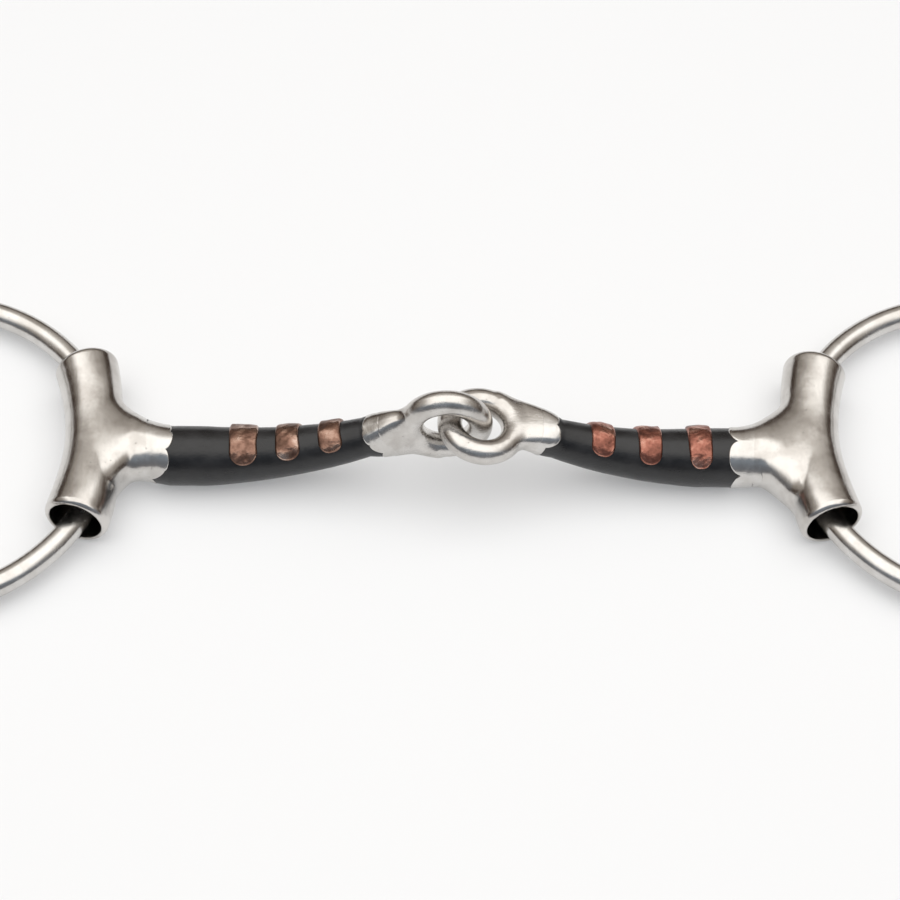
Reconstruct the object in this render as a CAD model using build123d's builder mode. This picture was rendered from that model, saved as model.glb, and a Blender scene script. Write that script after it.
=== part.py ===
from build123d import *
from math import asin, cos, degrees, exp, log, radians, sin, sqrt
import os

# Loose-ring snaffle bit with sleeve cheeks, lying on a table.
# X runs along the mouthpiece, Y across it and Z up from the table. The origin is on the
# table under the middle of the bit. Everything is in millimetres and degrees.
# Each half of the mouthpiece is a stainless sleeve, a sweet-iron cannon with three copper
# inlays, and a stainless eye. The two eyes are linked. The left eye's loop stands on edge
# and the right eye's loop lies flat.

# Rings: 3 inches over all, in 3/16 inch wire
ring_outer_diameter = 76.2
wire_radius = 2.38
ring_radius = ring_outer_diameter / 2 - wire_radius
ring_slip = 0.3                      # each ring lies this far along its sleeve, one each way

# Sleeves: bent tubes that the rings run through
sleeve_x = 68.6                      # tube axis at the waist, either side of the origin
sleeve_radius = 6.2
sleeve_height = sleeve_radius        # its axis, so that the tube lies on the table
sleeve_half_length = 18.65
sleeve_bend_radius = 70.0
bore_radius = 5.0
lip_outer_fillet = 0.75
lip_inner_fillet = 0.35

# Where the ring's wire rests in the bore, low and towards the mouthpiece
wire_inset = 1.70
wire_drop = 1.4

# Stems: each leaves its sleeve off centre and flares where it meets the tube. A flare is
# the distance from the tube's axis where the fillet on the +Y side begins, where the web on
# the -Y side begins, and how fast that web spreads.
stem_y = -3.0
stem_z = 6.0
stem_fillet_far = 9.5                # plan radius of the flare on the +Y side
left_flare = (15.7, 7.6, 2.0)
right_flare = (15.7, 10.0, 1.5)
web_softness = 0.7                   # over about how far each web's slope sets in
web_reach = 14.0                     # the most that a web spreads, short of the tube's lip
stem_flat = 0.12                     # how much the flare thins towards the tube
flare_stations = (14.2, 12.8, 11.4, 10.2, 9.2, 8.4, 7.6, 6.8, 6.0, 4.8)
flare_rounds = 20                    # halvings used to find the flare's edge

# Cannons: parallel near the sleeve, then tapered and curved up to the joint
bar_radius = 5.7
eye_end_radius = 3.8
taper_share = 0.82                   # the share of the length that tapers
left_sleeve_end, left_eye_end = 53.5, 16.75
right_sleeve_end, right_eye_end = 52.65, 19.15
straight_run = 6.0
left_curve, right_curve = 80.0, 66.0
cannon_sections = 9

# Weld rings over the butt joints
weld_half_width = 1.5
weld_depth = 1.3
weld_crown = 0.25
weld_toe = 0.02

# Eyes and the link between them
eye_wire_radius = 2.35
left_eye_radius, right_eye_radius = 6.5, 6.1     # centreline of each loop
left_eye_centre = (-1.87, 16.4)      # X and Z of each loop's middle
right_eye_centre = (4.9, 15.7)
left_eye_rise, right_eye_rise = 4.0, 8.0     # slope of each loop towards the joint
neck_sections = ((0.0, 3.8), (0.38, 3.45), (0.72, 2.75), (1.12, 2.3))   # share, half thickness
left_neck_spread, right_neck_spread = 0.537, 0.329   # how fast one edge of the neck spreads
neck_inset = 0.3                     # the neck stops this far inside the loop's centreline

# Copper inlays: strips in shallow grooves, wrapped over the top of the cannon
inlay_proud = 0.6
inlay_groove = 0.7
inlay_first_angle = 32.0             # above the horizontal on the -Y side
inlay_wrap = 173.0
inlay_end_fillet = 1.9
inlay_edge_fillet = 0.45
left_inlays = (("outer", 14.0, 5.7), ("middle", 22.8, 4.8), ("inner", 31.4, 4.6))
right_inlays = (("outer", 6.1, 4.7), ("middle", 16.4, 5.0), ("inner", 26.1, 5.0))

size_match = 0.01                    # how close an edge or face is to the size it is picked by


def export(builder, node):
    """Labels a finished piece and writes it under its node's name."""
    builder.part.label = node
    export_step(builder.part, f"parts/{node}.step")
    return builder.part


def axis_plane(line, share):
    """A plane square to a cannon's axis at a share of its length, with local x along Y."""
    return Plane(origin=line @ share, x_dir=(0, 1, 0), z_dir=line % share)


def cannon_axis(side, sleeve_end, eye_end, curve_radius):
    """The line of one cannon, from its sleeve end inwards and up to its eye end."""
    turn = degrees(asin((sleeve_end - straight_run - eye_end) / curve_radius))
    bend = (side * (sleeve_end - straight_run), stem_z)
    with BuildLine(Plane.XZ.offset(-stem_y)) as axis:
        Line((side * sleeve_end, stem_z), bend)
        JernArc(start=bend, tangent=(-side, 0), radius=curve_radius, arc_size=-side * turn)
    return axis.wire()


def cannon_radius(share):
    """The bar's radius at a share of its length from the sleeve end."""
    from_eye = min((1 - share) / taper_share, 1)
    return eye_end_radius + (bar_radius - eye_end_radius) * from_eye


def make_ring(side, hand):
    """A closed wire ring, tilted so that its outer edge touches the table."""
    inner_height = sleeve_height - wire_drop
    tilt = asin((inner_height - wire_radius) / (2 * ring_radius))
    centre = (
        side * (sleeve_x - wire_inset + ring_radius * cos(tilt)),
        side * ring_slip,
        (inner_height + wire_radius) / 2,
    )
    lie = Plane(origin=centre, x_dir=(0, 1, 0), z_dir=(side * sin(tilt), 0, cos(tilt)))
    with BuildPart(lie) as ring:
        Torus(ring_radius, wire_radius)
    return export(ring, f"{hand}_ring")


def make_weld(line, share, radius, node):
    """A weld ring that fills the V between two butted ends, a little proud of them."""
    along = line % share
    centre = line @ share
    with BuildPart() as weld:
        with BuildSketch(Plane(origin=centre, x_dir=along, z_dir=(0, 1, 0))):
            with BuildLine():
                left_toe = (-weld_half_width, radius + weld_toe)
                right_toe = (weld_half_width, radius + weld_toe)
                Polyline(left_toe, (0, radius - weld_depth), right_toe)
                ThreePointArc(right_toe, (0, radius + weld_crown), left_toe)
            make_face()
        revolve(axis=Axis(centre, along))
    return export(weld, node)


def tube_offset(y):
    """How far the tube's axis has bent away from its waist at that distance along it."""
    return sleeve_bend_radius - sqrt(sleeve_bend_radius**2 - y**2)


def flare_edges(distance, flare):
    """How far the flare spreads to +Y and to -Y at a distance from the tube's axis."""
    far_start, web_start, web_slope = flare
    reach = min(max(far_start - distance, 0), stem_fillet_far)
    far = bar_radius + stem_fillet_far - sqrt(stem_fillet_far**2 - reach**2)
    near = web_softness * log(1 + exp((web_start - distance) / web_softness))
    return far, min(bar_radius + web_slope * near, web_reach)


def flare_section(distance, flare):
    """The stem's half width and middle in one upright section, allowing for the tube's bend."""
    edges = []
    for number, way in enumerate((1, -1)):
        low, high = bar_radius, bar_radius + stem_fillet_far
        for _ in range(flare_rounds):
            edge = (low + high) / 2
            offset = tube_offset(stem_y + way * edge)
            if flare_edges(distance + offset, flare)[number] > edge:
                low = edge
            else:
                high = edge
        edges.append(low)
    far, near = edges
    return (far + near) / 2, (far - near) / 2


def make_sleeve(side, hand, sleeve_end, flare, weld):
    """A bent tube with rounded lips and a flared stem that ends at the cannon."""
    bend_out = tube_offset(sleeve_half_length)
    near_mouth = (side * (sleeve_x + bend_out), -sleeve_half_length)
    waist = (side * sleeve_x, 0)
    far_mouth = (side * (sleeve_x + bend_out), sleeve_half_length)
    with BuildLine(Plane.XY.offset(sleeve_height)) as tube_axis:
        ThreePointArc(near_mouth, waist, far_mouth)
    mouth = Plane(origin=tube_axis.line @ 0, z_dir=tube_axis.line % 0)
    reach = sleeve_x - sleeve_end
    with BuildPart() as sleeve:
        with BuildSketch(mouth):
            Circle(sleeve_radius)
        sweep(path=tube_axis.line)
        lips = sleeve.edges().filter_by(GeomType.CIRCLE)
        fillet(lips, lip_outer_fillet)
        for distance in (reach, *flare_stations):
            half_width, middle = flare_section(distance, flare)
            height = bar_radius * (1 - stem_flat * (reach - distance) / reach)
            centre = (side * (sleeve_x - distance), stem_y + middle, stem_z)
            with BuildSketch(Plane(origin=centre, x_dir=(0, 1, 0), z_dir=(-1, 0, 0))):
                Ellipse(half_width, height)
        loft()
        with BuildSketch(mouth):
            Circle(bore_radius)
        sweep(path=tube_axis.line, mode=Mode.SUBTRACT)
        mouths = sleeve.edges().filter_by(GeomType.CIRCLE)
        rims = [rim for rim in mouths if abs(rim.radius - bore_radius) < size_match]
        fillet(rims, lip_inner_fillet)
        add(weld, mode=Mode.SUBTRACT)
    return export(sleeve, f"{hand}_sleeve")


def make_inlay(line, distance, width, node):
    """A copper strip wrapped over the cannon, with rounded ends and edges."""
    share = distance / line.length
    along = line % share
    centre = line @ share
    radius = cannon_radius(share)
    thickness = inlay_proud + inlay_groove
    outwards = along * (-1 if along.X > 0 else 1)
    across = Vector(0, 1, 0)
    up = outwards.cross(across) * -1
    start = up * sin(radians(inlay_first_angle)) - across * cos(radians(inlay_first_angle))
    turn_axis = Axis(centre, outwards)
    with BuildPart() as inlay:
        with BuildSketch(Plane(origin=centre, x_dir=along, z_dir=along.cross(start))):
            with Locations((0, radius + (inlay_proud - inlay_groove) / 2)):
                Rectangle(width, thickness)
        revolve(axis=turn_axis, revolution_arc=inlay_wrap)
        radial = inlay.edges().filter_by(GeomType.LINE)
        radial = [edge for edge in radial if abs(edge.length - thickness) < size_match]
        fillet(radial, inlay_end_fillet)
        outside = inlay.faces().filter_by(GeomType.CYLINDER)
        outside = [face for face in outside if abs(face.radius - radius - inlay_proud) < size_match]
        fillet(outside[0].edges(), inlay_edge_fillet)
    return export(inlay, node)


def make_cannon(line, hand, cut_pieces):
    """A solid iron bar, round at every station, with its grooves and weld preparations."""
    stations = [section / (cannon_sections - 1) for section in range(cannon_sections)]
    with BuildPart() as cannon:
        for share in stations:
            with BuildSketch(axis_plane(line, share)):
                Circle(cannon_radius(share))
        loft()
        for piece in cut_pieces:
            add(piece, mode=Mode.SUBTRACT)
    return export(cannon, f"{hand}_cannon")


def make_eye(line, hand, centre, loop_radius, rise, spread, upright, weld):
    """A stainless eye: a round neck that flattens and spreads into a loop of round wire.

    The neck spreads to one side only: down where the loop stands on edge, else to +Y.
    """
    start = line @ 1
    lean = line % 1
    middle = Vector(centre[0], stem_y, centre[1])
    inwards = -1 if start.X > 0 else 1
    level = Vector(inwards * cos(radians(rise)), 0, sin(radians(rise)))
    neck = middle - level * loop_radius - start
    across = Vector(0, 1, 0)
    loop_normal = across if upright else level.cross(across)
    spread_way = across.cross(neck).normalized() * inwards if upright else across
    last_share = neck_sections[-1][0]
    with BuildPart() as eye:
        for share, thin in neck_sections:
            widening = spread * share * neck.length / 2
            broad = eye_end_radius + widening
            place = start + neck * share + spread_way * widening
            direction = lean * (last_share - share) + level * share
            with BuildSketch(Plane(origin=place, x_dir=across, z_dir=direction)):
                Ellipse(*((thin, broad) if upright else (broad, thin)))
        loft()
        with BuildSketch(Plane(origin=middle, z_dir=loop_normal)):
            Circle(loop_radius - neck_inset)
        extrude(amount=2 * loop_radius, both=True, mode=Mode.SUBTRACT)
        with Locations(Plane(origin=middle, z_dir=loop_normal)):
            Torus(loop_radius, eye_wire_radius)
        add(weld, mode=Mode.SUBTRACT)
    return export(eye, f"{hand}_eye")


def make_half(side, hand, ends, curve_radius, flare, inlays, eye, upright):
    """One half of the mouthpiece, from its sleeve to its eye, and its ring."""
    sleeve_end, eye_end = ends
    line = cannon_axis(side, sleeve_end, eye_end, curve_radius)
    sleeve_weld = make_weld(line, 0, bar_radius, f"{hand}_sleeve_weld")
    eye_weld = make_weld(line, 1, eye_end_radius, f"{hand}_eye_weld")
    strips = [
        make_inlay(line, distance, width, f"{hand}_{place}_inlay")
        for place, distance, width in inlays
    ]
    make_sleeve(side, hand, sleeve_end, flare, sleeve_weld)
    make_cannon(line, hand, [sleeve_weld, eye_weld, *strips])
    make_eye(line, hand, *eye, upright, eye_weld)
    make_ring(side, hand)


os.makedirs("parts", exist_ok=True)
left_eye = (left_eye_centre, left_eye_radius, left_eye_rise, left_neck_spread)
right_eye = (right_eye_centre, right_eye_radius, right_eye_rise, right_neck_spread)
make_half(-1, "left", (left_sleeve_end, left_eye_end), left_curve, left_flare, left_inlays,
          left_eye, upright=True)
make_half(1, "right", (right_sleeve_end, right_eye_end), right_curve, right_flare,
          right_inlays, right_eye, upright=False)
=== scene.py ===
from math import asin, cos, pi, radians, sin

import bpy
import numpy as np
from mathutils import Matrix, Vector


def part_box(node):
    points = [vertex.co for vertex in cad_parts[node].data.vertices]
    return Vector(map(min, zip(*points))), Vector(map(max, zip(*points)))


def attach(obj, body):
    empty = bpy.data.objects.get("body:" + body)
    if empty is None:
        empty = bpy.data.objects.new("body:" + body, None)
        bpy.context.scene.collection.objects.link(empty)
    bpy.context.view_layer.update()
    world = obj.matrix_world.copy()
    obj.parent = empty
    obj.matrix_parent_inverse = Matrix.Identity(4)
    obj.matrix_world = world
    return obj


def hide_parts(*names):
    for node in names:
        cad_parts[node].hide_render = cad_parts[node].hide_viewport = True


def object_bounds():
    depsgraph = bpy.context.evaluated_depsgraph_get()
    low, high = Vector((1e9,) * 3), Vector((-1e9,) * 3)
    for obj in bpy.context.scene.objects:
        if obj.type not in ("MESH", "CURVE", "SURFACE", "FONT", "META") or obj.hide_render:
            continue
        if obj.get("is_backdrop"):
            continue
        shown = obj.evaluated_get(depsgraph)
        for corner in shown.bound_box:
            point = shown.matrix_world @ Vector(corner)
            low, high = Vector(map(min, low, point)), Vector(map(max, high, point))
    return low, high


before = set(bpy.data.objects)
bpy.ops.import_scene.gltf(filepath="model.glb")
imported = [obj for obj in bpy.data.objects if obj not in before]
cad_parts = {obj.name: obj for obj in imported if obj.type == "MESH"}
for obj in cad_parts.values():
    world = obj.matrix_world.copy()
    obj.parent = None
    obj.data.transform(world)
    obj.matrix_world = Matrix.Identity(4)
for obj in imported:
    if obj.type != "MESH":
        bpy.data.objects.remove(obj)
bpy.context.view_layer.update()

# The looks of a loose-ring snaffle bit. Shapes are worked out in millimetres, in the frame's
# axes, and are written to their meshes in metres.
MM = 0.001


# --- Sizes shared with the frame --------------------------------------------------------

tube_low, tube_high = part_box("left_sleeve")
TUBE_RADIUS = (tube_high.z - tube_low.z) / 2 / MM
TUBE_HEIGHT = (tube_high.z + tube_low.z) / 2 / MM
TUBE_HALF_LENGTH = 18.65
TUBE_X = 68.6
TUBE_BEND = 70.0
BORE_RADIUS = 5.0
LIP_FAR, LIP_NEAR, LIP_INNER = 1.6, 1.3, 0.4
# The tube is slimmer at its middle, and swells over these lengths towards its ends.
WAIST_DEPTH = 0.7
WAIST_SHORT, WAIST_LONG = 17.0, 13.0

STEM_Y, STEM_Z = -3.0, 6.0
BAR_RADIUS, NECK_RADIUS = 5.7, 3.8
TAPER_SHARE = 0.82
STRAIGHT_RUN = 6.0
FAR_FILLET, FAR_SHARE, FAR_SOFTNESS = 9.5, 0.86, 0.7
STEM_WAIST_START, STEM_WAIST_RUN = 0.5, 3.5
WEB_MARGIN = 1.6
WEB_FILLET, WEB_FILLET_DROP, WEB_FILLET_RUN = 2.8, 1.9, 14.0
# The stem flattens towards the tube: (distance from its axis, run, depth) of each step.
STEM_THINNING = ((13.0, 6.0, 0.35), (6.0, 8.0, 1.8))

LOOP_WIRE = 2.35
LOOP_INSET, RIM_INSET = 0.3, 0.25
LOOP_FILLET, NECK_ROUNDING = 1.2, 0.8
NECK_SHARES = (0.0, 0.38, 0.72, 1.12)
NECK_THIN = (3.8, 3.45, 2.75, 2.3)
NECK_START, NECK_TOE = 3.4, 4.7

COLLAR_PROUD, COLLAR_LIP, COLLAR_DROP = 0.16, 0.3, 0.26
COLLAR_TOE_DEPTH, COLLAR_ROOT_DEPTH = 0.02, 1.2
BAR_END_TAPER = 1.2
INLAY_PROUD, INLAY_DEPTH = 0.6, 0.8
INLAY_FIRST, INLAY_WRAP = 32.0, 173.0
INLAY_CORNER, INLAY_EDGE, INLAY_WANDER = 0.25, 0.5, 0.13

CAST_STEP, EYE_STEP, INLAY_STEP = 0.3, 0.25, 0.15
NET_TRIALS = 40
NET_SHIFT = (0.37, 0.61, 0.23)

# Distances along a half are from the end of its sleeve's stem. core_start is where the iron
# begins inside the stem, and stem_toe is how far back the weld metal reaches from its end.
# far_start and web_start are where the stem's two sides begin to flare, from the tube's axis.
# Each border outlines where weld metal stops on the iron: (angle round the bar, distance
# along it) at each cusp, and then how far the lobe after that cusp bulges. Each inlay is
# (distance along the bar, width).
HALVES = {
    "left": {
        "side": -1,
        "sleeve_end": 53.5,
        "eye_end": 16.75,
        "curve": 80.0,
        "loop": (-1.87, 16.4),
        "loop_radius": 6.5,
        "rise": 4.0,
        "upright": True,
        "far_start": 15.7,
        "web_start": 7.6,
        "web_slope": 2.0,
        "stem_waist": 0.8,
        "core_start": -4.9,
        "stem_toe": 5.8,
        "sleeve_border": (
            (-10, -3.9, 0.4), (22, -1.3, 0.8), (66, -1.1, 1.0), (106, -0.4, 0.5),
            (150, -0.9, 0.9), (205, -0.6, 0.7), (255, -1.6, 0.8), (305, -3.2, 0.5),
        ),
        "eye_border": (
            (-24, -2.6, 0.5), (24, -1.5, 0.6), (70, -1.0, 0.4), (118, -1.8, 0.5),
            (170, -1.6, 0.5), (230, -1.9, 0.5), (290, -1.6, 0.4),
        ),
        "inlays": {"outer": (14.0, 5.7), "middle": (22.8, 4.8), "inner": (31.4, 4.6)},
    },
    "right": {
        "side": 1,
        "sleeve_end": 52.65,
        "eye_end": 19.15,
        "curve": 66.0,
        "loop": (4.9, 15.7),
        "loop_radius": 6.1,
        "rise": 8.0,
        "upright": False,
        "far_start": 15.9,
        "web_start": 10.0,
        "web_slope": 1.5,
        "stem_waist": 0.0,
        "core_start": -4.2,
        "stem_toe": 5.4,
        "sleeve_border": (
            (-30, -0.6, 0.9), (18, -1.7, 2.2), (87, -1.2, 1.2), (132, -0.4, 0.6),
            (180, -0.8, 0.9), (240, -1.2, 0.9), (285, -0.3, 0.6),
        ),
        "eye_border": (
            (-34, -2.9, 0.2), (14, -2.8, 0.3), (28, -1.5, 0.5), (62, -0.9, 0.3),
            (92, -1.6, 0.4), (150, -1.2, 0.5), (215, -1.5, 0.6), (280, -1.3, 0.4),
        ),
        "inlays": {"outer": (6.1, 4.7), "middle": (16.4, 5.0), "inner": (26.1, 5.0)},
    },
}


# --- Distance fields --------------------------------------------------------------------

def join(first, second, radius):
    """The union of two solids, with a fillet of that radius between them."""
    return np.maximum(radius, np.minimum(first, second)) - np.hypot(
        np.maximum(radius - first, 0), np.maximum(radius - second, 0)
    )


def meet(first, second, radius):
    """What two solids share, with its edge rounded to that radius."""
    return np.minimum(-radius, np.maximum(first, second)) + np.hypot(
        np.maximum(radius + first, 0), np.maximum(radius + second, 0)
    )


def ease(share):
    """From 0 to 1, smoothly, as share does."""
    share = np.clip(share, 0, 1)
    return share * share * (3 - 2 * share)


def oval(across, up, half_width, half_height, power=2.0):
    """About the distance from an oval, and exactly nought on it. Power 2 is an ellipse."""
    across = np.abs(across) / half_width + 1e-6
    up = np.abs(up) / half_height + 1e-6
    share = (across**power + up**power) ** (1 / power)
    slope = np.hypot((across / share) ** (power - 1) / half_width,
                     (up / share) ** (power - 1) / half_height)
    return (share - 1) / slope


def ripple(points, size, seed):
    """A smooth random field between about -1 and 1, with features about that size."""
    draw = np.random.default_rng(seed)
    waves = draw.normal(size=(3, 9))
    waves *= 2 * pi / size / draw.uniform(1.4, 3.2, 9) / np.linalg.norm(waves, axis=0)
    return np.sin(points @ waves + draw.uniform(0, 2 * pi, 9)).sum(-1) / 4


def slope_of(field, points):
    """The gradient of a field, by central differences."""
    step = 0.01
    parts = []
    for axis in range(3):
        shift = np.zeros(3)
        shift[axis] = step
        parts.append((field(points + shift) - field(points - shift)) / (2 * step))
    return np.stack(parts, -1)


def settle(field, points, rounds):
    """Moves points onto a field's surface, by Newton's steps."""
    for _ in range(rounds):
        slope = slope_of(field, points)
        reach = field(points) / np.maximum((slope**2).sum(-1), 0.05)
        points = points - np.clip(reach, -0.3, 0.3)[:, None] * slope
    return points


def surface_net(field, low, high, step):
    """Points and outward quads of a field's surface inside a box."""
    low = np.array(low, float)
    shape = [int((b - a) / step) + 2 for a, b in zip(low, high)]
    grid = np.moveaxis(np.indices(shape), 0, -1) * step + low
    value = field(grid)
    cells = np.array(shape) - 1
    number = np.full(cells, -1)
    total, count = np.zeros((*cells, 3)), np.zeros(cells)
    around = []
    for axis in range(3):
        u, v = (axis + 1) % 3, (axis + 2) % 3
        first = np.take(value, range(shape[axis] - 1), axis)
        second = np.take(value, range(1, shape[axis]), axis)
        hit = np.argwhere((first < 0) != (second < 0))
        hit = hit[(hit[:, [u, v]] > 0).all(1) & (hit[:, [u, v]] < cells[[u, v]]).all(1)]
        near, far = first[tuple(hit.T)], second[tuple(hit.T)]
        crossing = hit.astype(float)
        crossing[:, axis] += near / (near - far)
        corners = []
        for du, dv in ((0, 0), (1, 0), (1, 1), (0, 1)):
            cell = hit.copy()
            cell[:, u] -= du
            cell[:, v] -= dv
            np.add.at(total, tuple(cell.T), crossing)
            np.add.at(count, tuple(cell.T), 1)
            corners.append(cell)
        corners = np.stack(corners, 1)
        corners[near > 0] = corners[near > 0][:, ::-1]
        around.append(corners)
    used = count > 0
    number[used] = np.arange(used.sum())
    points = total[used] / count[used][:, None] * step + low
    corners = np.concatenate(around)
    quads = number[corners[..., 0], corners[..., 1], corners[..., 2]]
    return points, quads


def is_closed(quads):
    """Whether every edge lies between exactly two faces."""
    edges = np.concatenate([quads[:, [i, (i + 1) % 4]] for i in range(4)])
    return (np.unique(np.sort(edges, 1), axis=0, return_counts=True)[1] == 2).all()


def relax(field, points, quads, rounds):
    """Evens the net out, then moves it back onto the surface."""
    links = np.concatenate([quads[:, [i, (i + 1) % 4]] for i in range(4)])
    links = np.concatenate([links, links[:, ::-1]])
    count = np.bincount(links[:, 0], minlength=len(points))[:, None]
    for _ in range(rounds):
        middle = np.zeros_like(points)
        np.add.at(middle, links[:, 0], points[links[:, 1]])
        points = settle(field, points + 0.5 * (middle / count - points), 1)
    return settle(field, points, 3)


# --- Meshes -----------------------------------------------------------------------------

def make_piece(name, points, faces, material, body, replaced, normals=None):
    """Writes a mesh in metres, and rides it on its body in place of a CAD node."""
    mesh = bpy.data.meshes.new(name)
    mesh.from_pydata((points * MM).tolist(), [], faces)
    mesh.polygons.foreach_set("use_smooth", [True] * len(mesh.polygons))
    mesh.materials.append(material)
    if normals is not None:
        mesh.normals_split_custom_set_from_vertices(normals.tolist())
    piece = bpy.data.objects.new(name, mesh)
    bpy.context.scene.collection.objects.link(piece)
    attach(piece, body)
    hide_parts(replaced)
    return piece


def make_cast(name, field, box, step, material, body, replaced):
    """A piece whose whole surface is one distance field's.

    The net's grid is shifted until each edge has two faces, or the trials run out.
    """
    low, high = box
    for trial in range(NET_TRIALS):
        shift = trial * np.array(NET_SHIFT) % 1
        points, quads = surface_net(field, low - shift * step, high, step)
        if is_closed(quads):
            break
    points = relax(field, settle(field, points, 3), quads, 4)
    normals = slope_of(field, points)
    normals /= np.linalg.norm(normals, axis=1)[:, None]
    return make_piece(name, points, quads.tolist(), material, body, replaced, normals)


def tube_faces(rows, columns, closed):
    """Quads between rings of points, row by row, and back to the first row if closed."""
    faces = []
    for row in range(rows if closed else rows - 1):
        here, there = row * columns, (row + 1) % rows * columns
        for column in range(columns):
            beside = (column + 1) % columns
            faces.append((here + column, here + beside, there + beside, there + column))
    return faces


# --- The line of each half --------------------------------------------------------------

class Half:
    """The centre line of one half, from its stem, along its bar, to its eye's loop."""

    def __init__(self, hand, sizes):
        self.hand = hand
        self.__dict__.update(sizes)
        self.bend_x = self.sleeve_end - STRAIGHT_RUN
        self.turn = asin((self.bend_x - self.eye_end) / self.curve)
        self.length = STRAIGHT_RUN + self.curve * self.turn
        rise = radians(self.rise)
        # In each half's own upright plane, inwards is along the first axis.
        self.level = np.array([cos(rise), sin(rise)])
        self.middle = np.array([-self.side * self.loop[0], self.loop[1]])
        self.start = np.array([-self.eye_end, STEM_Z + self.curve * (1 - cos(self.turn))])
        reach = self.middle - self.level * self.loop_radius - self.start
        self.neck_length = np.linalg.norm(reach)
        self.chord = reach / self.neck_length
        pitch = np.arctan2(self.chord[1], self.chord[0])
        self.neck_slopes = (np.tan(self.turn - pitch), np.tan(rise - pitch))
        self.thin = np.poly1d(np.polyfit(NECK_SHARES, NECK_THIN, 3))
        # One side of the neck runs straight from the bar to the loop's rim.
        to_middle = self.middle - self.start
        along = to_middle @ self.chord
        below = to_middle[0] * self.chord[1] - to_middle[1] * self.chord[0]
        aside = NECK_RADIUS - (below if self.upright else 0)
        rim_radius = self.loop_radius + LOOP_WIRE - RIM_INSET
        rim = asin(rim_radius / np.hypot(along, aside)) - np.arctan2(aside, along)
        self.web_rise = np.tan(rim)
        self.neck_end = along - rim_radius * sin(rim)

    def flat(self, points):
        """Inwards and upwards coordinates, and how far across from the half's own plane."""
        return -self.side * points[..., 0], points[..., 2], points[..., 1] - STEM_Y

    def bow(self, distance):
        """How far the neck's centre line stands off its chord, and its slope there."""
        share = np.clip(distance / self.neck_length, 0, 1)
        first, last = self.neck_slopes
        height = self.neck_length * share * (1 - share) * ((1 - share) * first - share * last)
        height = height + last * np.maximum(distance - self.neck_length, 0)
        slope = (1 - 4 * share + 3 * share**2) * first - (2 * share - 3 * share**2) * last
        return height, slope

    def bar_place(self, points):
        """Distance along the bar, across it and up from its centre line."""
        inwards, up, across = self.flat(points)
        past = inwards + self.bend_x
        drop = STEM_Z + self.curve - up
        along = STRAIGHT_RUN + self.curve * np.arctan2(past, drop)
        height = self.curve - np.hypot(past, drop)
        straight = past < 0
        along = np.where(straight, STRAIGHT_RUN + past, along)
        return along, across, np.where(straight, up - STEM_Z, height)

    def neck_place(self, points):
        """Distance along the neck, across it and up from its centre line."""
        inwards, up, across = self.flat(points)
        inwards, up = inwards - self.start[0], up - self.start[1]
        along = inwards * self.chord[0] + up * self.chord[1]
        height = up * self.chord[0] - inwards * self.chord[1]
        return along, across, height - self.bow(along)[0]

    def bar_radius(self, along):
        """The bar's radius, which tapers evenly to the neck's after a parallel run."""
        taper = np.clip((1 - along / self.length) / TAPER_SHARE, 0, 1)
        return NECK_RADIUS + (BAR_RADIUS - NECK_RADIUS) * taper

    def stem(self, distance, sideways, up):
        """Distance from the stem's flared section, that far from the tube's axis."""
        reach = np.maximum(self.far_start - distance, 0)
        excess = (reach - FAR_FILLET * FAR_SHARE) / FAR_SOFTNESS
        reach = np.maximum(reach - FAR_SOFTNESS * np.logaddexp(0, excess), 0)
        far = BAR_RADIUS + FAR_FILLET - np.sqrt(FAR_FILLET**2 - reach**2)
        past_bar = TUBE_X - self.sleeve_end - distance
        waist = np.clip((past_bar - STEM_WAIST_START) / STEM_WAIST_RUN, 0, 1)
        near = BAR_RADIUS - self.stem_waist * waist
        near = near + self.web_slope * np.logaddexp(0, (self.web_start - distance) * 2) / 2
        near = np.minimum(near, TUBE_HALF_LENGTH + STEM_Y - WEB_MARGIN)
        thin = BAR_RADIUS
        for start, run, depth in STEM_THINNING:
            thin = thin - depth * ease((start - distance) / run)
        return oval(sideways - (far - near) / 2, up, (far + near) / 2, thin)

    def neck(self, along, sideways, up):
        """Distance from the neck's section, which spreads to one side to meet the loop."""
        share = np.clip(along / self.neck_length, 0, NECK_SHARES[-1])
        spread = NECK_RADIUS + self.web_rise * np.clip(along, 0, self.neck_end)
        thin = self.thin(share)
        power = 2 + 0.8 * np.clip(share * 2.5, 0, 1)
        half, shift = (spread + NECK_RADIUS) / 2, (spread - NECK_RADIUS) / 2
        if self.upright:
            return oval(sideways, up + shift, thin, half, power)
        return oval(sideways - shift, up, half, thin, power)

    def metal(self, along, sideways, up):
        """Distance from the stem, bar or neck, whichever is at that distance along."""
        stem = self.stem(TUBE_X - self.sleeve_end + along, sideways, up)
        bar = np.hypot(sideways, up) - self.bar_radius(along)
        neck = self.neck(along - self.length, sideways, up)
        return np.where(along < 0, stem, np.where(along > self.length, neck, bar))

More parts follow.
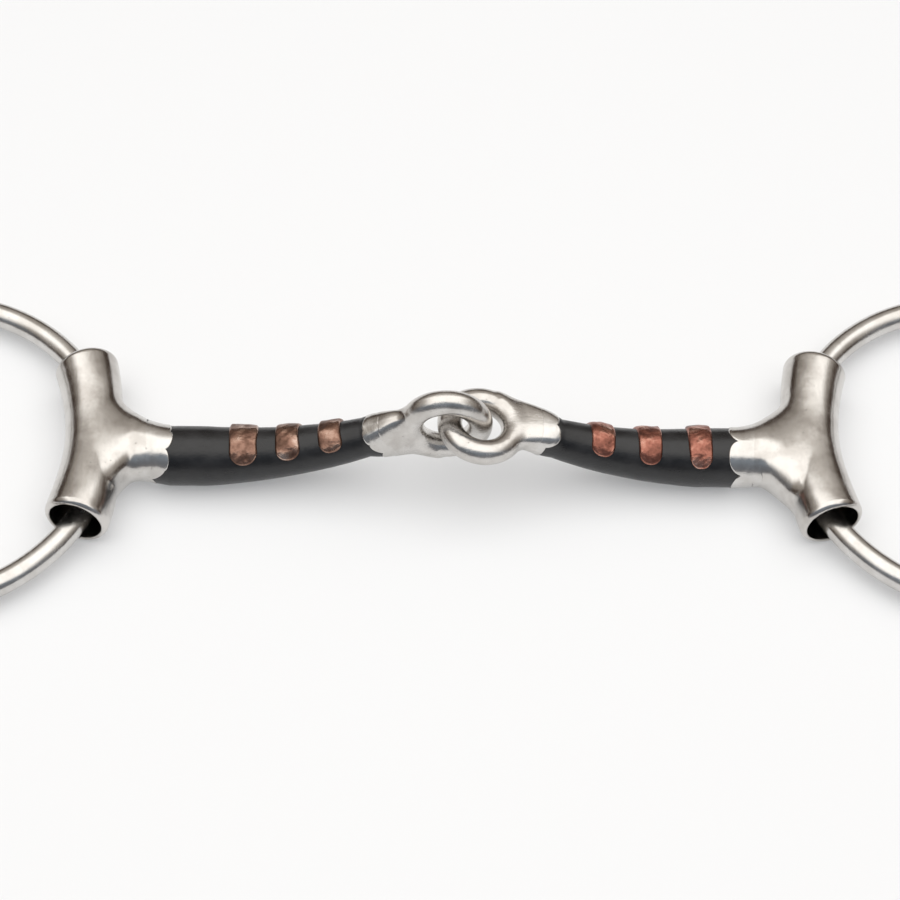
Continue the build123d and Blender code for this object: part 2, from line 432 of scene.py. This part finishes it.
    def skin(self, along, angle, lift):
        """Points on the metal's surface, that far above it. Angle 0 faces -Y and 90 up."""
        sideways, upright = -np.cos(angle), np.sin(angle)
        inner, outer = np.full(angle.shape, 1.0), np.full(angle.shape, 14.0)
        for _ in range(24):
            radius = (inner + outer) / 2
            inside = self.metal(along, sideways * radius, upright * radius) < 0
            inner, outer = np.where(inside, radius, inner), np.where(inside, outer, radius)
        radius = inner + lift
        turn = np.clip((along - STRAIGHT_RUN) / self.curve, 0, self.turn)
        straight = np.minimum(along, STRAIGHT_RUN)
        inwards = -self.sleeve_end + straight + self.curve * np.sin(turn)
        up = STEM_Z + self.curve * (1 - np.cos(turn))
        past = np.maximum(along - self.length, 0)
        stand, slope = self.bow(past)
        pitch = np.arctan2(self.chord[1], self.chord[0]) + np.arctan(slope)
        pitch = np.where(past > 0, pitch, turn)
        inwards = inwards + self.chord[0] * past - self.chord[1] * stand
        up = up + self.chord[1] * past + self.chord[0] * stand
        inwards = inwards - radius * upright * np.sin(pitch)
        up = up + radius * upright * np.cos(pitch)
        across = STEM_Y + radius * sideways
        return np.stack([-self.side * inwards, across, up], -1)


# --- Fields of the stainless pieces -----------------------------------------------------

def sleeve_field(half):
    """A bent tube with rounded lips, and the stem and web that flare into it."""
    stem_end = TUBE_X - half.sleeve_end + half.core_start + 0.6

    def field(points):
        inwards = TUBE_X - half.side * points[..., 0]
        y, z = points[..., 1], points[..., 2]
        out = np.hypot(inwards + TUBE_BEND, y) - TUBE_BEND
        along = TUBE_BEND * np.arctan2(y, inwards + TUBE_BEND)
        off_axis = np.hypot(out, z - TUBE_HEIGHT)
        # The tube swells evenly to its far end, and sooner towards its near end.
        far_share = (TUBE_HALF_LENGTH - along) / WAIST_LONG
        far_share = far_share - np.logaddexp(0, (far_share - 1) * 7) / 7
        waist = WAIST_DEPTH * far_share * ease(1 + along / WAIST_SHORT)
        ends = np.abs(along) - TUBE_BEND * asin(TUBE_HALF_LENGTH / TUBE_BEND)
        lip = LIP_NEAR + (LIP_FAR - LIP_NEAR) * ease(0.5 + along / WAIST_LONG)
        tube = meet(off_axis - TUBE_RADIUS + waist, ends, lip)
        stem = half.stem(out, y - STEM_Y, z - STEM_Z)
        stem = meet(stem, np.maximum(inwards - stem_end, -1.5 - out), 0.5)
        fillet = WEB_FILLET - WEB_FILLET_DROP * ease((1.0 - y) / WEB_FILLET_RUN)
        return meet(join(tube, stem, fillet), BORE_RADIUS - off_axis, LIP_INNER)

    return field


def eye_field(half):
    """A loop of round wire with the neck that flattens into it."""
    def field(points):
        inwards, up, across = half.flat(points)
        inwards, up = inwards - half.middle[0], up - half.middle[1]
        level = inwards * half.level[0] + up * half.level[1]
        rise = up * half.level[0] - inwards * half.level[1]
        wide, deep = (rise, across) if half.upright else (across, rise)
        off_centre = np.hypot(level, wide)
        loop = np.hypot(off_centre - half.loop_radius, deep) - LOOP_WIRE
        along, side, height = half.neck_place(points)
        neck = half.neck(along, side, height)
        ends = np.maximum(NECK_START - along, along - half.neck_end)
        ends = np.maximum(ends, half.loop_radius - LOOP_INSET - off_centre)
        return join(loop, meet(neck, ends, NECK_ROUNDING), LOOP_FILLET)

    return field


def inlay_field(half, distance, width, seed):
    """A proud strip of run-on copper, wrapped over the bar."""
    middle_angle = radians(INLAY_FIRST + INLAY_WRAP / 2)
    bar = half.bar_radius(distance)
    half_arc = radians(INLAY_WRAP) / 2 * bar

    def field(points):
        along, across, up = half.bar_place(points)
        angle = np.arctan2(up, -across)
        angle = np.where(angle < middle_angle - pi, angle + 2 * pi, angle)
        arc = (angle - middle_angle) * bar
        above = np.hypot(across, up) - half.bar_radius(along)
        beside = along - distance
        wander = INLAY_WANDER * ripple(points, 3.2, seed)
        corner = width / 2 - INLAY_CORNER
        gap_arc = np.abs(arc) - half_arc + corner
        gap_beside = np.abs(beside + wander) - width / 2 + corner
        outline = np.hypot(np.maximum(gap_arc, 0), np.maximum(gap_beside, 0)) - corner
        outline = outline + np.minimum(np.maximum(gap_arc, gap_beside), 0) + 0.5 * wander
        crown = INLAY_PROUD * (1 - 0.3 * (beside / (width / 2)) ** 2)
        crown = crown + 0.07 * ripple(points, 1.5, seed + 50)
        crown = crown + 0.03 * ripple(points, 0.7, seed + 90)
        strip = meet(outline, above - crown, INLAY_EDGE)
        return np.maximum(strip, -INLAY_DEPTH - above)

    return field


# --- Welds and bars ---------------------------------------------------------------------

def border(outline, angle):
    """Where weld metal stops, at each angle: lobes that meet in cusps."""
    turns = [radians(point[0]) for point in outline]
    turns.append(turns[0] + 2 * pi)
    places = [point[1] for point in outline] + [outline[0][1]]
    angle = turns[0] + (angle - turns[0]) % (2 * pi)
    found = np.zeros_like(angle)
    for lobe, bulge in enumerate(point[2] for point in outline):
        share = (angle - turns[lobe]) / (turns[lobe + 1] - turns[lobe])
        inside = (share >= 0) & (share <= 1)
        share = np.clip(share, 0, 1)
        reach = places[lobe] + (places[lobe + 1] - places[lobe]) * share
        reach = reach + bulge * np.sqrt(share * (1 - share)) * 2
        found = np.where(inside, reach, found)
    return found


def make_collar(half, name, outline, end, towards, toe, material, replaced):
    """Weld metal from a smooth toe on the steel to a ragged border on the iron."""
    columns = 288
    angle = np.arange(columns) * 2 * pi / columns
    ragged = end + towards * border(outline, angle)
    drift = 0.25 * np.sin(3 * angle + 1) + 0.12 * np.sin(7 * angle)
    if towards < 0:
        drift = drift / 3
    smooth = end - towards * (toe + drift)
    shares = np.concatenate([[0.01], np.linspace(0.04, 0.25, 6), np.linspace(0.3, 1, 15)])
    # The toe starts just under the steel, so that it comes out of it without a crease.
    rows = [half.skin(smooth, angle, -COLLAR_ROOT_DEPTH), half.skin(smooth, angle, -0.12)]
    proud = COLLAR_PROUD if towards > 0 else COLLAR_PROUD / 2
    for share in shares:
        place = smooth + (ragged - towards * COLLAR_LIP - smooth) * share
        rise = ease(share / 0.9)
        lift = -COLLAR_TOE_DEPTH + (proud + COLLAR_TOE_DEPTH) * rise
        wave = 0.015 * np.sin(2.4 * place + 2 * angle) * np.sin(5 * angle + place)
        rows.append(half.skin(place, angle, lift + wave * rise))
    for quarter in np.linspace(0.2, 1, 5) * pi / 2:
        place = ragged - towards * COLLAR_LIP * (1 - np.sin(quarter))
        rows.append(half.skin(place, angle, proud - COLLAR_DROP * (1 - np.cos(quarter))))
    rows.append(half.skin(ragged, angle, -COLLAR_ROOT_DEPTH))
    faces = tube_faces(len(rows), columns, closed=True)
    if towards * half.side < 0:
        faces = [face[::-1] for face in faces]
    body = f"{half.hand}_half"
    return make_piece(name, np.concatenate(rows), faces, material, body, replaced)


def make_bar(half, material):
    """The iron bar, slightly uneven from the file, with its ends inside the welds."""
    columns, step = 160, 0.25
    angle = np.arange(columns) * 2 * pi / columns
    first, last = half.core_start, half.length + NECK_START + 0.5
    rows = []
    for place in np.arange(first, last, step):
        along = np.full(columns, place)
        points = half.skin(along, angle, 0.0)
        sunk = -0.5 * max(0.0, place - (last - BAR_END_TAPER))
        uneven = 0.035 * ripple(points, 5.0, 11) + 0.012 * ripple(points, 1.6, 12)
        rows.append(half.skin(along, angle, uneven + sunk - 0.03))
    points = np.concatenate(rows)
    faces = tube_faces(len(rows), columns, closed=False)
    faces.append(tuple(reversed(range(columns))))
    faces.append(tuple(range(len(points) - columns, len(points))))
    if half.side < 0:
        faces = [face[::-1] for face in faces]
    name = f"{half.hand}_iron_bar"
    body, replaced = f"{half.hand}_half", f"{half.hand}_cannon"
    return make_piece(name, points, faces, material, body, replaced)


# --- Materials --------------------------------------------------------------------------

def add_node(tree, kind, inputs=(), **settings):
    """A shader node with its settings, and (name or number, value or socket) inputs."""
    made = tree.nodes.new(kind)
    for name, value in settings.items():
        setattr(made, name, value)
    for name, value in inputs:
        if isinstance(value, bpy.types.NodeSocket):
            tree.links.new(value, made.inputs[name])
        else:
            made.inputs[name].default_value = value
    return made


def add_ramp(tree, value, stops, smooth=True):
    """A colour ramp over (position, colour) stops, and its colour socket."""
    ramp = add_node(tree, "ShaderNodeValToRGB", [("Fac", value)])
    ramp.color_ramp.interpolation = "EASE" if smooth else "LINEAR"
    elements = ramp.color_ramp.elements
    while len(elements) < len(stops):
        elements.new(0.5)
    for element, (position, colour) in zip(elements, stops):
        element.position = position
        element.color = (*colour, 1)
    return ramp.outputs["Color"]


def grey(value):
    """An even tone."""
    return (value, value, value)


def add_noise(tree, stretch, scale, detail=3.0, rough=0.55, shift=(0, 0, 0)):
    """Noise over the piece's own millimetres, drawn out along an axis by its stretch."""
    place = add_node(tree, "ShaderNodeTexCoord").outputs["Object"]
    size = [1 / MM / part for part in stretch]
    place = add_node(tree, "ShaderNodeMapping", [
        ("Vector", place), ("Scale", size), ("Location", shift),
    ]).outputs[0]
    return add_node(tree, "ShaderNodeTexNoise", [
        ("Vector", place), ("Scale", scale), ("Detail", detail), ("Roughness", rough),
    ]).outputs["Fac"]


def add_bump(tree, height, depth, normal=None):
    """A bump of that depth in millimetres, on top of another if given."""
    inputs = [("Height", height), ("Distance", depth * MM), ("Strength", 1.0)]
    if normal is not None:
        inputs.append(("Normal", normal))
    return add_node(tree, "ShaderNodeBump", inputs).outputs["Normal"]


def begin_material(name, metallic):
    """A new material, its node tree and its shader."""
    material = bpy.data.materials.new(name)
    material.use_nodes = True
    shader = material.node_tree.nodes["Principled BSDF"]
    shader.inputs["Metallic"].default_value = metallic
    return material, material.node_tree, shader


def stainless(name, stretch, gloss, tone, wear):
    """Hand-polished stainless steel: satin, with drawn-out polishing marks and small pits.

    Gloss is (smoothest, roughest), tone a (dark, light) pair, and wear from 0 to 1.
    """
    material, tree, shader = begin_material(name, 1.0)
    cloud = add_noise(tree, (1, 1, 1), 0.22, 4.0)
    marks = add_noise(tree, stretch, 1.6, 4.0, 0.65)
    both = add_node(tree, "ShaderNodeMath", [(0, cloud), (1, marks), (2, 0.2)],
                    operation="MULTIPLY_ADD")
    colour = add_ramp(tree, cloud, ((0.3, tone[0]), (0.62, tone[1])))
    pits = add_noise(tree, (1, 1, 1), 1.9, 2.0, 0.5, (7, 3, 5))
    pit_start = 0.21 + 0.04 * wear
    pitted = add_ramp(tree, pits, ((pit_start, grey(0.6)), (pit_start + 0.06, grey(1.0))))
    tinted = add_node(tree, "ShaderNodeMix", [(0, 1.0), (6, colour), (7, pitted)],
                      data_type="RGBA", blend_type="MULTIPLY")
    tree.links.new(tinted.outputs[2], shader.inputs["Base Color"])
    rough = add_ramp(tree, both.outputs[0], ((0.3, grey(gloss[0])), (0.62, grey(gloss[1]))))
    tree.links.new(rough, shader.inputs["Roughness"])
    normal = add_bump(tree, add_noise(tree, (1, 1, 1), 0.13, 1.0), 0.07 + 0.06 * wear)
    normal = add_bump(tree, marks, 0.012 + 0.012 * wear, normal)
    normal = add_bump(tree, pitted, 0.02, normal)
    tree.links.new(normal, shader.inputs["Normal"])
    return material


def blued_iron():
    """Sweet iron with a blue-black bloom: nearly matt, faintly grained along the bar."""
    material, tree, shader = begin_material("blued_iron", 0.0)
    cloud = add_noise(tree, (1.6, 1, 1), 0.4, 5.0, 0.6)
    grain = add_noise(tree, (2.5, 1, 1), 3.2, 3.0, 0.6)
    colour = add_ramp(tree, cloud, (
        (0.32, (0.005, 0.005, 0.006)), (0.7, (0.014, 0.014, 0.0155)),
    ))
    tree.links.new(colour, shader.inputs["Base Color"])
    rough = add_ramp(tree, cloud, ((0.3, grey(0.27)), (0.7, grey(0.38))))
    tree.links.new(rough, shader.inputs["Roughness"])
    shader.inputs["Specular IOR Level"].default_value = 0.5
    normal = add_bump(tree, cloud, 0.05)
    tree.links.new(add_bump(tree, grain, 0.035, normal), shader.inputs["Normal"])
    return material


def run_copper(name, shift, tones):
    """Copper that was run on hot: bright where it is rubbed, dark oxide in the hollows."""
    material, tree, shader = begin_material(name, 1.0)
    patches = add_noise(tree, (1, 1, 1), 0.34, 3.0, 0.5, shift)
    fine = add_noise(tree, (1, 1, 1), 1.9, 3.0, 0.5, shift)
    both = add_node(tree, "ShaderNodeMath", [(0, fine), (1, 0.22), (2, patches)],
                    operation="MULTIPLY_ADD")
    stops = tuple(zip((0.40, 0.50, 0.60, 0.70, 0.84), tones))
    colour = add_ramp(tree, both.outputs[0], stops)
    tree.links.new(colour, shader.inputs["Base Color"])
    rough = add_ramp(tree, both.outputs[0], ((0.45, grey(0.36)), (0.75, grey(0.24))))
    tree.links.new(rough, shader.inputs["Roughness"])
    normal = add_bump(tree, patches, 0.22)
    tree.links.new(add_bump(tree, fine, 0.06, normal), shader.inputs["Normal"])
    return material


# --- Camera, floor and light ------------------------------------------------------------

LENS, SENSOR = 120.0, 36.0
VIEW_ELEVATION = 53.3
VIEW_AZIMUTH = -3.36
VIEW_ROLL = 2.91
VIEW_DISTANCE = 0.5738
VIEW_TARGET = Vector((0.0, 0.0, 0.006))
VIEW_SHIFT = (-0.0042, -0.0065)

SOFTBOX_PLACE = (0, 0.01, 0.5)
SOFTBOX_TARGET = (0, 0.01, 0)
SOFTBOX_SIZE = (0.86, 0.64)
SOFTBOX_POWER = 1.3
SOFTBOX_COLOUR = (1, 0.99, 0.975)

FLOOR_REACH = 3.0
FLOOR_COLOUR = (0.535, 0.543, 0.555, 1)
FLOOR_EMISSION = 0.27

GLOW_COLOUR = (1.74, 1.70, 1.64, 1)
ROOM_COLOUR = (0.9, 0.9, 0.89, 1)
ROOM_BACK = (
    (0.0, (0.16, 0.13, 0.11)),
    (0.07, (0.07, 0.05, 0.04)),
    (0.22, (0.10, 0.076, 0.062)),
    (0.42, (0.38, 0.345, 0.31)),
    (0.66, (0.56, 0.52, 0.475)),
    (0.80, (0.76, 0.715, 0.66)),
    (1.0, (0.80, 0.755, 0.70)),
)
ROOM_FRONT = (
    (0.0, (0.22, 0.22, 0.23)),
    (0.3, (0.20, 0.215, 0.24)),
    (0.7, (0.27, 0.31, 0.36)),
    (1.0, (0.36, 0.40, 0.45)),
)


def make_camera():
    """The camera looks down across the bit, with its right-hand end a little low."""
    azimuth, elevation = radians(VIEW_AZIMUTH), radians(VIEW_ELEVATION)
    back = Vector((
        sin(azimuth) * cos(elevation),
        -cos(azimuth) * cos(elevation),
        sin(elevation),
    ))
    camera = bpy.data.objects.new("camera", bpy.data.cameras.new("camera"))
    camera.data.lens = LENS
    camera.data.sensor_width = SENSOR
    camera.data.shift_x, camera.data.shift_y = VIEW_SHIFT
    roll = Matrix.Rotation(radians(VIEW_ROLL), 4, "Z")
    turn = (-back).to_track_quat("-Z", "Y").to_matrix().to_4x4() @ roll
    camera.matrix_world = Matrix.Translation(VIEW_TARGET + back * VIEW_DISTANCE) @ turn
    bpy.context.scene.collection.objects.link(camera)
    bpy.context.scene.camera = camera


def make_floor():
    """A plain pale table, which glows a little."""
    mesh = bpy.data.meshes.new("floor")
    turns = ((-1, -1), (1, -1), (1, 1), (-1, 1))
    corners = [(x * FLOOR_REACH, y * FLOOR_REACH, 0) for x, y in turns]
    mesh.from_pydata(corners, [], [(0, 1, 2, 3)])
    floor = bpy.data.objects.new("floor", mesh)
    bpy.context.scene.collection.objects.link(floor)
    material, _, shader = begin_material("floor", 0.0)
    shader.inputs["Base Color"].default_value = FLOOR_COLOUR
    shader.inputs["Emission Color"].default_value = (1, 1, 1, 1)
    shader.inputs["Emission Strength"].default_value = FLOOR_EMISSION
    shader.inputs["Roughness"].default_value = 0.6
    mesh.materials.append(material)
    floor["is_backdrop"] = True


def make_softbox():
    """Overhead light on the rough surfaces. The world lights the reflections."""
    light = bpy.data.lights.new("softbox", "AREA")
    light.shape = "RECTANGLE"
    light.size, light.size_y = SOFTBOX_SIZE
    light.energy = SOFTBOX_POWER
    light.color = SOFTBOX_COLOUR
    lamp = bpy.data.objects.new("softbox", light)
    lamp.location = SOFTBOX_PLACE
    aim = Vector(SOFTBOX_TARGET) - Vector(SOFTBOX_PLACE)
    lamp.rotation_euler = aim.to_track_quat("-Z", "Y").to_euler()
    lamp.visible_camera = False
    lamp.visible_glossy = False
    bpy.context.scene.collection.objects.link(lamp)


def add_fade(tree, value, start, end):
    """From nought at start to one at end, smoothly."""
    return add_node(tree, "ShaderNodeMapRange", [
        ("Value", value), ("From Min", start), ("From Max", end),
    ], interpolation_type="SMOOTHSTEP").outputs[0]


def make_world():
    """A dim room with a broad soft light overhead, cooler on the camera's side."""
    world = bpy.data.worlds.new("room")
    bpy.context.scene.world = world
    world.use_nodes = True
    tree = world.node_tree
    tree.nodes.clear()
    direction = add_node(tree, "ShaderNodeTexCoord").outputs["Generated"]
    parts = add_node(tree, "ShaderNodeSeparateXYZ", [(0, direction)]).outputs
    back = add_ramp(tree, parts["Z"], ROOM_BACK)
    front = add_ramp(tree, parts["Z"], ROOM_FRONT)
    in_front = add_fade(tree, parts["Y"], -0.15, -0.55)
    room = add_node(tree, "ShaderNodeMix", [(0, in_front), (6, back), (7, front)],
                    data_type="RGBA")
    aside = add_node(tree, "ShaderNodeMath", [(0, parts["X"])], operation="ABSOLUTE").outputs[0]
    glow = add_fade(tree, aside, 0.80, 0.52)
    for axis, start, end in (("Y", 0.60, 0.51), ("Y", -0.60, -0.45), ("Z", 0.2, 0.5)):
        fade = add_fade(tree, parts[axis], start, end)
        glow = add_node(tree, "ShaderNodeMath", [(0, glow), (1, fade)],
                        operation="MULTIPLY").outputs[0]
    room = add_node(tree, "ShaderNodeMix", [
        (0, glow), (6, room.outputs[2]), (7, GLOW_COLOUR),
    ], data_type="RGBA")
    lit = add_node(tree, "ShaderNodeBackground", [("Color", room.outputs[2])])
    seen = add_node(tree, "ShaderNodeBackground", [("Color", ROOM_COLOUR)])
    direct = add_node(tree, "ShaderNodeLightPath").outputs["Is Camera Ray"]
    mixed = add_node(tree, "ShaderNodeMixShader", [
        (0, direct), (1, lit.outputs[0]), (2, seen.outputs[0]),
    ])
    add_node(tree, "ShaderNodeOutputWorld", [("Surface", mixed.outputs[0])])


make_camera()
make_floor()
make_softbox()
make_world()
bpy.context.scene.view_settings.view_transform = "Standard"

# Metals: each pair of steel tones is (dark, light), and copper runs from oxide to rubbed.
STEEL_WARM = ((0.50, 0.475, 0.45), (0.64, 0.62, 0.595))
STEEL_CLEAN = ((0.56, 0.54, 0.515), (0.66, 0.645, 0.625))
BROWN_TONES = ((0.11, 0.062, 0.045), (0.17, 0.095, 0.07), (0.25, 0.145, 0.108),
               (0.34, 0.215, 0.165), (0.50, 0.37, 0.31))
RED_TONES = ((0.13, 0.055, 0.04), (0.22, 0.088, 0.064), (0.32, 0.13, 0.095),
             (0.42, 0.20, 0.15), (0.58, 0.37, 0.31))
cheek_steel = stainless("cheek_steel", (1, 5, 1), (0.14, 0.24), STEEL_WARM, 0.6)
eye_steel = stainless("eye_steel", (4, 1, 1), (0.17, 0.30), STEEL_WARM, 0.8)
ring_steel = stainless("ring_steel", (2, 4, 1), (0.17, 0.28), STEEL_CLEAN, 0.2)
weld_steel = stainless("weld_steel", (1, 3, 1), (0.15, 0.27), STEEL_CLEAN, 0.9)
iron = blued_iron()
coppers = {
    "left": run_copper("brown_copper", (0, 0, 0), BROWN_TONES),
    "right": run_copper("red_copper", (3, 9, 2), RED_TONES),
}

for hand, shape in HALVES.items():
    half = Half(hand, shape)
    body = f"{hand}_half"
    low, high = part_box(f"{hand}_sleeve")
    box = (np.array(low) / MM - 1, np.array(high) / MM + 1)
    make_cast(f"{hand}_cheek_sleeve", sleeve_field(half), box, CAST_STEP, cheek_steel, body,
              f"{hand}_sleeve")
    low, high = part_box(f"{hand}_eye")
    box = (np.array(low) / MM - 2, np.array(high) / MM + 2)
    make_cast(f"{hand}_eye_loop", eye_field(half), box, EYE_STEP, eye_steel, body,
              f"{hand}_eye")
    make_collar(half, f"{hand}_sleeve_collar", half.sleeve_border, 0.0, 1, half.stem_toe,
                weld_steel, f"{hand}_sleeve_weld")
    make_collar(half, f"{hand}_eye_collar", half.eye_border, half.length, -1, NECK_TOE,
                weld_steel, f"{hand}_eye_weld")
    make_bar(half, iron)
    for number, (place, (distance, width)) in enumerate(half.inlays.items()):
        node = f"{hand}_{place}_inlay"
        low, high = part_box(node)
        box = (np.array(low) / MM - 1, np.array(high) / MM + 1)
        seed = number + (10 if half.side > 0 else 20)
        make_cast(f"{hand}_{place}_copper", inlay_field(half, distance, width, seed), box,
                  INLAY_STEP, coppers[hand], body, node)
    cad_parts[f"{hand}_ring"].data.materials.clear()
    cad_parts[f"{hand}_ring"].data.materials.append(ring_steel)

low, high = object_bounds()
